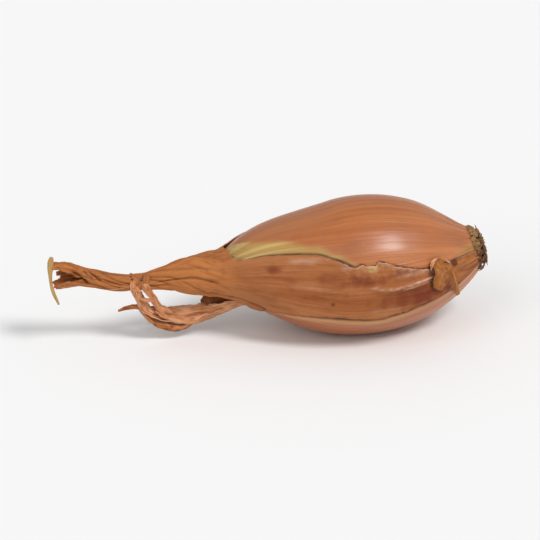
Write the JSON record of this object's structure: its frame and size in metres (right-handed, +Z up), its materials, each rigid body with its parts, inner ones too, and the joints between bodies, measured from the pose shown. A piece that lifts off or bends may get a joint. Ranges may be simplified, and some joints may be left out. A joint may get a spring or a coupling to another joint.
{
  "type": "shallot",
  "caption": "Long shallot lying on its side, with a torn papery outer skin, a dried frayed neck and a tuft of dried roots.",
  "frame": {"origin": "under the middle of the shallot's box, at the height of the flat spot that it rests on", "axes": "+X along the shallot from the dried neck to the roots, -Y out of the front where the skin is split, +Z up"},
  "size_m": [0.1152, 0.0376, 0.0351],
  "materials": {
    "bulb_skin": "satin, with fine veins along it",
    "dry_skin": "dull and papery",
    "dry_roots": "dry and matt"
  },
  "bodies": {
    "root": {"bulb": "bulb_skin", "outer_skin": "dry_skin", "root_tuft": "dry_roots"}
  },
  "joints": []
}
